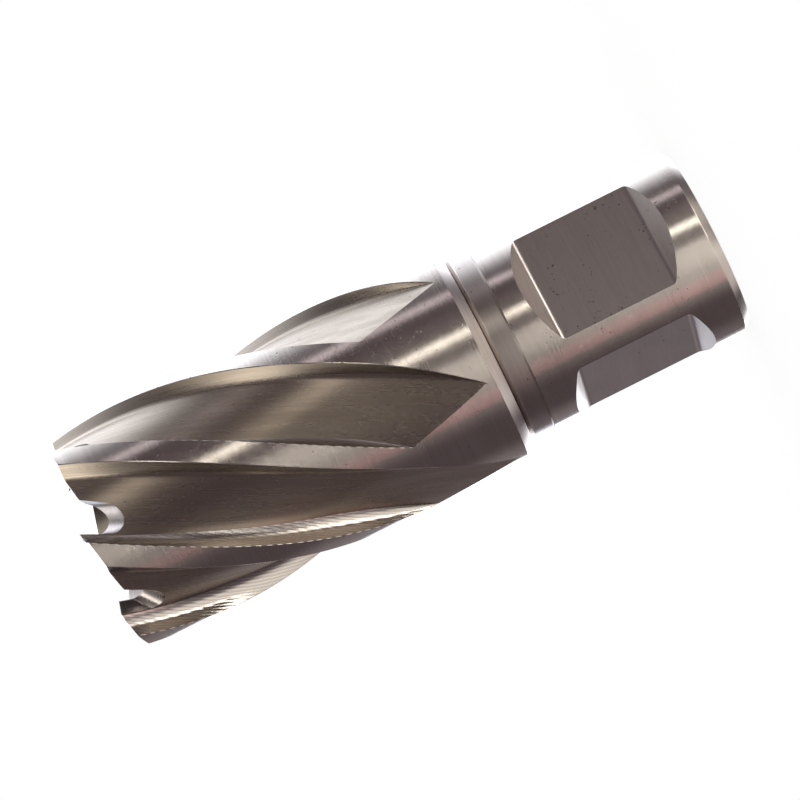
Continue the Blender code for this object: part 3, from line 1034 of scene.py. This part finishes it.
def make_cutter(scene):
    """The cutter: blank, cavity, flats, gullets and tooth ends, with a finish for each region."""
    shape = CutterShape(scene)
    groups = {
        "tool_marks": tool_marks_group(),
        "unwound": unwound_group(shape.twist),
        "pits": pits_group(),
        "stain": stain_group(),
        "hatch": hatch_group(),
    }
    finish = scene.cutter_finish
    looks = steel_looks(finish, shape.body.helix)
    materials = [steel_material(region, groups, finish, looks[region]) for region in REGIONS]
    cutter = make_blank(shape, materials)
    teeth = range(shape.teeth.count)
    quarter_turn = math.pi / 2
    tools = [
        make_core(shape, materials),
        make_flat_tool(shape, shape.shank.flat_one_depth, 0.0, materials),
        make_flat_tool(shape, shape.shank.flat_two_depth, -quarter_turn, materials),
    ]
    tools += [make_gullet_tool(shape, tooth, materials) for tooth in teeth]
    tools += [make_tooth_end_tool(shape, tooth, materials) for tooth in teeth]
    cut_with(cutter, tools)
    shade_by_angle(cutter.data, SMOOTH_LIMIT, REGION_LIMIT)
    return cutter


WHITE = (1.0, 1.0, 1.0, 1.0)

# Share of glow in the floor that the camera sees; the rest of it takes the object's shadow
FLOOR_GLOW = 0.9

# Elevation of the tent's open top, in degrees
TENT_TOP = 68.0

# Distance of the first light card and from one to the next, as shares of the tent's radius
FIRST_CARD = 0.97
CARD_GAP = 0.02

# Columns and rows of the tent's wall and of a light card
WALL_STEPS = (96, 32)
CARD_STEPS = (48, 24)


def shell_mesh(name, centre, radius, azimuths, elevations, steps):
    """Part of a sphere between two azimuths and two elevations, with U and V along them."""
    mesh = bpy.data.meshes.new(name)
    columns, rows = steps
    points = []
    for turn in spread(*azimuths, columns):
        for rise in spread(*elevations, rows):
            tilt = math.radians(rise)
            points.append(centre + radius * polar(math.cos(tilt), turn, math.sin(tilt)))
    faces = []
    for i in range(columns):
        for j in range(rows):
            corner = i * (rows + 1) + j
            faces.append((corner, corner + 1, corner + rows + 2, corner + rows + 1))
    mesh.from_pydata(points, [], faces)
    layer = mesh.uv_layers.new(name="UVMap")
    for loop in mesh.loops:
        column, row = divmod(loop.vertex_index, rows + 1)
        layer.data[loop.index].uv = (column / columns, row / rows)
    return mesh


def add_stage_object(name, mesh, material, seen_by_camera):
    """Adds a piece of the stage; one that the camera doesn't see shows in reflections only."""
    obj = bpy.data.objects.new(name, mesh)
    mesh.materials.append(material)
    bpy.context.scene.collection.objects.link(obj)
    obj.visible_camera = seen_by_camera
    obj.visible_diffuse = seen_by_camera
    obj.visible_transmission = seen_by_camera
    obj.visible_shadow = seen_by_camera
    return obj


def card_material(name, card):
    """Glow that adds to what is behind the card and fades towards its four edges."""
    material = bpy.data.materials.new(name)
    material.use_nodes = True
    tree = material.node_tree
    tree.nodes.clear()
    place = add_node(tree, "ShaderNodeUVMap")
    parts = add_node(tree, "ShaderNodeSeparateXYZ", {0: place.outputs["UV"]})
    glow = card.strength
    for axis, (near, far) in (("X", card.soft_sides), ("Y", card.soft_ends)):
        along = parts.outputs[axis]
        glow = maths(tree, "MULTIPLY", ramp(tree, along, 0.0, near), glow)
        glow = maths(tree, "MULTIPLY", ramp(tree, along, 1.0 - far, 1.0, 1.0, 0.0), glow)
    light = add_node(tree, "ShaderNodeEmission", {"Color": (*card.tint, 1.0), "Strength": glow})
    clear = add_node(tree, "ShaderNodeBsdfTransparent")
    both = add_node(tree, "ShaderNodeAddShader", {0: light.outputs[0], 1: clear.outputs[0]})
    add_node(tree, "ShaderNodeOutputMaterial", {"Surface": both.outputs[0]})
    return material


def glowing_material(name, tint):
    """Even glow of one colour."""
    material = bpy.data.materials.new(name)
    material.use_nodes = True
    tree = material.node_tree
    tree.nodes.clear()
    light = add_node(tree, "ShaderNodeEmission", {"Color": (*tint, 1.0), "Strength": 1.0})
    add_node(tree, "ShaderNodeOutputMaterial", {"Surface": light.outputs[0]})
    return material


def white_ray_share(tree):
    """1 for a ray of the camera, of a reflection or through glass."""
    path = add_node(tree, "ShaderNodeLightPath").outputs
    share = maths(tree, "MAXIMUM", path["Is Camera Ray"], path["Is Glossy Ray"])
    return maths(tree, "MAXIMUM", share, path["Is Transmission Ray"])


def floor_material():
    """White floor that is nearly all glow to the camera, with a trace of the object's shadow."""
    material = bpy.data.materials.new("white_floor")
    material.use_nodes = True
    tree = material.node_tree
    shader = tree.nodes["Principled BSDF"]
    shader.inputs["Base Color"].default_value = WHITE
    shader.inputs["Roughness"].default_value = 0.9
    shader.inputs["Specular IOR Level"].default_value = 0.0
    glow = add_node(tree, "ShaderNodeEmission", {"Color": WHITE, "Strength": 1.0})
    share = maths(tree, "MULTIPLY", white_ray_share(tree), FLOOR_GLOW)
    mix_inputs = {0: share, 1: shader.outputs[0], 2: glow.outputs[0]}
    mixed = add_node(tree, "ShaderNodeMixShader", mix_inputs)
    tree.links.new(mixed.outputs[0], tree.nodes["Material Output"].inputs["Surface"])
    return material


def make_world():
    """White all round at a plain level."""
    world = bpy.data.worlds.new("white_room")
    world.use_nodes = True
    background = world.node_tree.nodes["Background"]
    background.inputs["Color"].default_value = WHITE
    background.inputs["Strength"].default_value = 1.0
    bpy.context.scene.world = world


class LightCard(NamedTuple):
    """Part of the tent that glows. Its azimuths and elevations are in degrees."""

    azimuths: tuple
    elevations: tuple
    tint: tuple
    strength: float
    # Shares over which the card fades, at its two sides and at its low and high ends
    soft_sides: tuple = (0.2, 0.2)
    soft_ends: tuple = (0.2, 0.2)


CARDS = {
    "back_card": LightCard(
        azimuths=(-28.0, 99.0),
        elevations=(-50.0, 62.0),
        tint=(0.9, 0.96, 1.08),
        strength=2.5,
        soft_sides=(0.35, 0.1),
    ),
    "high_back_card": LightCard(
        azimuths=(-46.0, 25.0),
        elevations=(14.0, 52.0),
        tint=(0.9, 0.95, 1.05),
        strength=1.3,
        soft_sides=(0.4, 0.2),
        soft_ends=(0.4, 0.2),
    ),
    "narrow_card": LightCard(
        azimuths=(-47.0, -36.0),
        elevations=(-45.0, 24.0),
        tint=(1.0, 0.92, 1.0),
        strength=1.0,
        soft_sides=(0.3, 0.3),
    ),
    "strip_card": LightCard(
        azimuths=(-89.5, -82.5),
        elevations=(-42.0, 0.0),
        tint=(1.0, 1.0, 0.94),
        strength=4.2,
        soft_ends=(0.15, 0.2),
    ),
    "faint_strip_card": LightCard(
        azimuths=(-97.0, -80.0),
        elevations=(-2.0, 22.0),
        tint=(1.0, 0.94, 0.84),
        strength=1.7,
        soft_sides=(0.5, 0.2),
        soft_ends=(0.2, 0.3),
    ),
    "pink_card": LightCard(
        azimuths=(-168.0, -146.0),
        elevations=(-26.0, -6.0),
        tint=(1.0, 0.3, 0.35),
        strength=0.7,
        soft_sides=(0.3, 0.3),
    ),
    "front_card": LightCard(
        azimuths=(-186.0, -105.0),
        elevations=(-29.0, -7.0),
        tint=(1.0, 0.97, 0.92),
        strength=1.95,
        soft_sides=(0.8, 0.08),
    ),
    "high_front_card": LightCard(
        azimuths=(-150.0, -109.0),
        elevations=(42.0, 64.0),
        tint=(1.0, 0.97, 0.9),
        strength=6.2,
        soft_sides=(0.4, 0.15),
        soft_ends=(0.1, 0.3),
    ),
    "low_front_card": LightCard(
        azimuths=(-200.0, -98.0),
        elevations=(-82.0, -31.0),
        tint=(1.04, 1.0, 0.94),
        strength=1.1,
        soft_sides=(0.4, 0.08),
        soft_ends=(0.1, 0.15),
    ),
    "low_right_card": LightCard(
        azimuths=(-115.0, -26.0),
        elevations=(-64.0, -44.0),
        tint=(1.04, 1.0, 0.94),
        strength=5.0,
        soft_sides=(0.12, 0.5),
        soft_ends=(0.15, 0.08),
    ),
    "low_side_card": LightCard(
        azimuths=(-288.0, -205.0),
        elevations=(-88.0, -48.0),
        tint=(1.0, 0.98, 0.96),
        strength=1.3,
        soft_sides=(0.1, 0.3),
        soft_ends=(0.1, 0.4),
    ),
    "side_card": LightCard(
        azimuths=(-263.0, -212.0),
        elevations=(-10.0, 12.0),
        tint=(0.92, 0.88, 0.96),
        strength=0.27,
        soft_sides=(0.2, 0.6),
        soft_ends=(0.3, 0.3),
    ),
    "top_card": LightCard(
        azimuths=(-300.0, -240.0),
        elevations=(50.0, 80.0),
        tint=(1.0, 1.0, 1.0),
        strength=1.8,
    ),
    "rim_card": LightCard(
        azimuths=(-294.0, -254.0),
        elevations=(-34.0, -8.0),
        tint=(1.0, 1.0, 1.0),
        strength=1.0,
        soft_sides=(0.1, 0.3),
    ),
    "low_back_card": LightCard(
        azimuths=(-30.0, 72.0),
        elevations=(-88.0, -46.0),
        tint=(1.0, 0.98, 0.98),
        strength=0.15,
        soft_ends=(0.1, 0.3),
    ),
}


def make_tent(stage):
    """Dim tent round the cutter, open at the top, with the light cards that its steel mirrors."""
    centre = Vector((0.0, 0.0, stage.aim_height))
    radius = stage.tent_radius
    wall = shell_mesh("tent_wall", centre, radius, (0.0, 360.0), (-90.0, TENT_TOP), WALL_STEPS)
    add_stage_object("tent_wall", wall, glowing_material("tent_grey", stage.tent_colour), False)
    for index, (name, card) in enumerate(CARDS.items()):
        near = radius * (FIRST_CARD - CARD_GAP * index)
        mesh = shell_mesh(name, centre, near, card.azimuths, card.elevations, CARD_STEPS)
        add_stage_object(name, mesh, card_material(name, card), False)


def make_floor(stage):
    """Wide white floor that the steel doesn't mirror."""
    mesh = bpy.data.meshes.new("floor")
    half = stage.floor_half_width
    points = [(-half, -half, 0.0), (half, -half, 0.0), (half, half, 0.0), (-half, half, 0.0)]
    mesh.from_pydata(points, [], [(0, 1, 2, 3)])
    floor = add_stage_object("floor", mesh, floor_material(), True)
    floor.visible_glossy = False


def make_camera(stage):
    """Camera at the photograph's viewing angle, rolled so that the axis lies slantwise."""
    azimuth = stage.camera_azimuth
    tilt = stage.camera_tilt
    away = Vector((math.cos(azimuth), math.sin(azimuth), 0.0))
    side = Vector((away.y, -away.x, 0.0))
    down = Vector((0.0, 0.0, -1.0))
    shankwards = math.cos(tilt) * down + math.sin(tilt) * away
    sight = math.sin(tilt) * down - math.cos(tilt) * away
    roll = stage.camera_roll
    right = math.cos(roll) * shankwards + math.sin(roll) * side
    up = math.sin(roll) * shankwards - math.cos(roll) * side
    aim = Vector((0.0, 0.0, stage.aim_height)) + stage.aim_side * side
    place = aim - sight * stage.camera_distance
    data = bpy.data.cameras.new("camera")
    data.sensor_width = 36.0
    data.lens = stage.lens
    data.clip_start = 0.05
    data.clip_end = 20.0
    camera = bpy.data.objects.new("camera", data)
    turned = Matrix((right, up, -sight)).transposed().to_4x4()
    camera.matrix_world = Matrix.Translation(place) @ turned
    bpy.context.scene.collection.objects.link(camera)
    bpy.context.scene.camera = camera


class CUTTER_OT_make_cutter(bpy.types.Operator):
    """Make the annular cutter in the place of its plain solid"""

    bl_idname = "cutter.make_cutter"
    bl_label = "Make the cutter"

    def execute(self, context):
        cutter = make_cutter(context.scene)
        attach(cutter, "root")
        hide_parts("annular_cutter")
        return {"FINISHED"}


class CUTTER_OT_make_stage(bpy.types.Operator):
    """Make the floor, the light tent and the camera"""

    bl_idname = "cutter.make_stage"
    bl_label = "Make the stage"

    def execute(self, context):
        stage = context.scene.cutter_stage
        make_world()
        make_floor(stage)
        make_tent(stage)
        make_camera(stage)
        context.scene.view_settings.view_transform = "Standard"
        return {"FINISHED"}


class CUTTER_PT_panel(bpy.types.Panel):
    """Sizes, finish and stage of the cutter"""

    bl_label = "Annular cutter"
    bl_idname = "CUTTER_PT_panel"
    bl_space_type = "VIEW_3D"
    bl_region_type = "UI"
    bl_category = "Cutter"

    def draw(self, context):
        layout = self.layout
        layout.operator(CUTTER_OT_make_cutter.bl_idname)
        layout.operator(CUTTER_OT_make_stage.bl_idname)
        scene = context.scene
        for name in SETTINGS:
            box = layout.box()
            group = getattr(scene, name)
            for key in group.bl_rna.properties.keys():
                if key not in ("rna_type", "name"):
                    box.prop(group, key)


SETTINGS = {
    "cutter_shank": ShankSizes,
    "cutter_body": BodySizes,
    "cutter_teeth": ToothSizes,
    "cutter_steps": FineSteps,
    "cutter_finish": SteelFinish,
    "cutter_stage": StageSettings,
}
CLASSES = (*SETTINGS.values(), CUTTER_OT_make_cutter, CUTTER_OT_make_stage, CUTTER_PT_panel)


def register():
    for cls in CLASSES:
        bpy.utils.register_class(cls)
    for name, cls in SETTINGS.items():
        setattr(bpy.types.Scene, name, PointerProperty(type=cls))


def unregister():
    for name in SETTINGS:
        delattr(bpy.types.Scene, name)
    for cls in reversed(CLASSES):
        bpy.utils.unregister_class(cls)


def main():
    register()
    bpy.ops.cutter.make_cutter()
    bpy.ops.cutter.make_stage()


if __name__ == "__main__":
    main()
